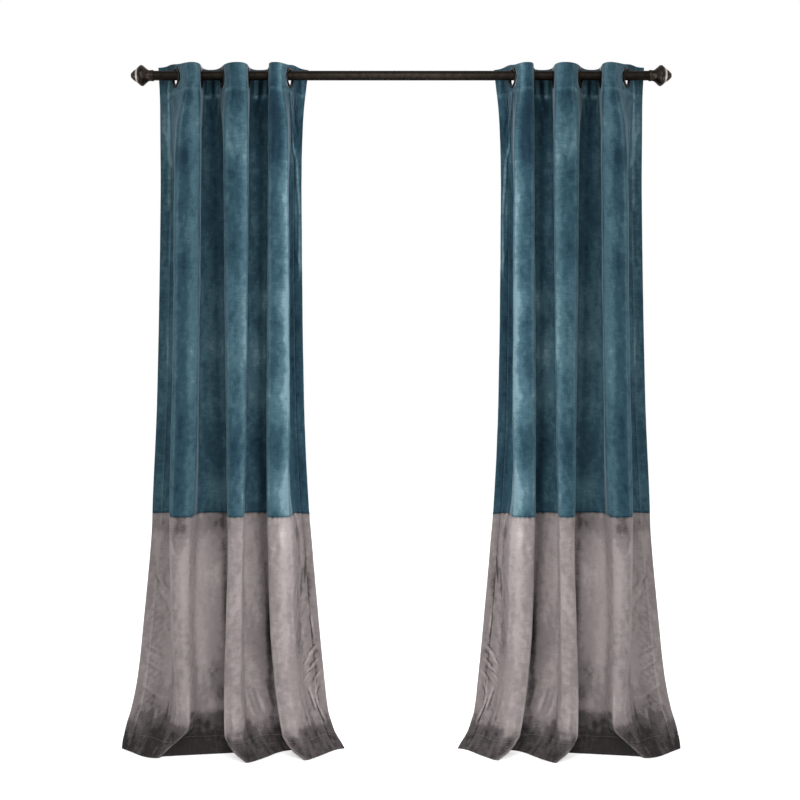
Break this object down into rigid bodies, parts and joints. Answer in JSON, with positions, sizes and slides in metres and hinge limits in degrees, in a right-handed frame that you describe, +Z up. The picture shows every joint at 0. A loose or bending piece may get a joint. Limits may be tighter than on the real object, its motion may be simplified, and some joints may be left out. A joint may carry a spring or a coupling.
{
  "type": "pair of eyelet curtains on a rod",
  "caption": "Pair of long two-colour velvet blackout curtains with eyelets, hung apart on a round rod with turned finials, hems trailing on the floor.",
  "frame": {"origin": "on the rod's axis, halfway along the rod", "axes": "+Z up, +X along the rod to the viewer's right, -Y towards the room and the viewer"},
  "size_m": [1.7494, 0.2013, 2.1149],
  "materials": {
    "rod_metal": "oil-rubbed dark bronze, satin",
    "finial_metal": "oil-rubbed dark bronze with a pale brushed band",
    "eyelet_metal": "dark bronze, semi-gloss",
    "teal_velvet": "short-pile velvet with brushed shading",
    "grey_velvet": "short-pile velvet with brushed shading"
  },
  "bodies": {
    "root": {"rod": "rod_metal", "left_finial": "finial_metal", "right_finial": "finial_metal", "left_upper_cloth": "teal_velvet", "left_lower_band": "grey_velvet", "right_upper_cloth": "teal_velvet", "right_lower_band": "grey_velvet", "left_eyelet_1": "eyelet_metal", "left_eyelet_2": "eyelet_metal", "left_eyelet_3": "eyelet_metal", "left_eyelet_4": "eyelet_metal", "left_eyelet_5": "eyelet_metal", "left_eyelet_6": "eyelet_metal", "right_eyelet_1": "eyelet_metal", "right_eyelet_2": "eyelet_metal", "right_eyelet_3": "eyelet_metal", "right_eyelet_4": "eyelet_metal", "right_eyelet_5": "eyelet_metal", "right_eyelet_6": "eyelet_metal"}
  },
  "joints": []
}
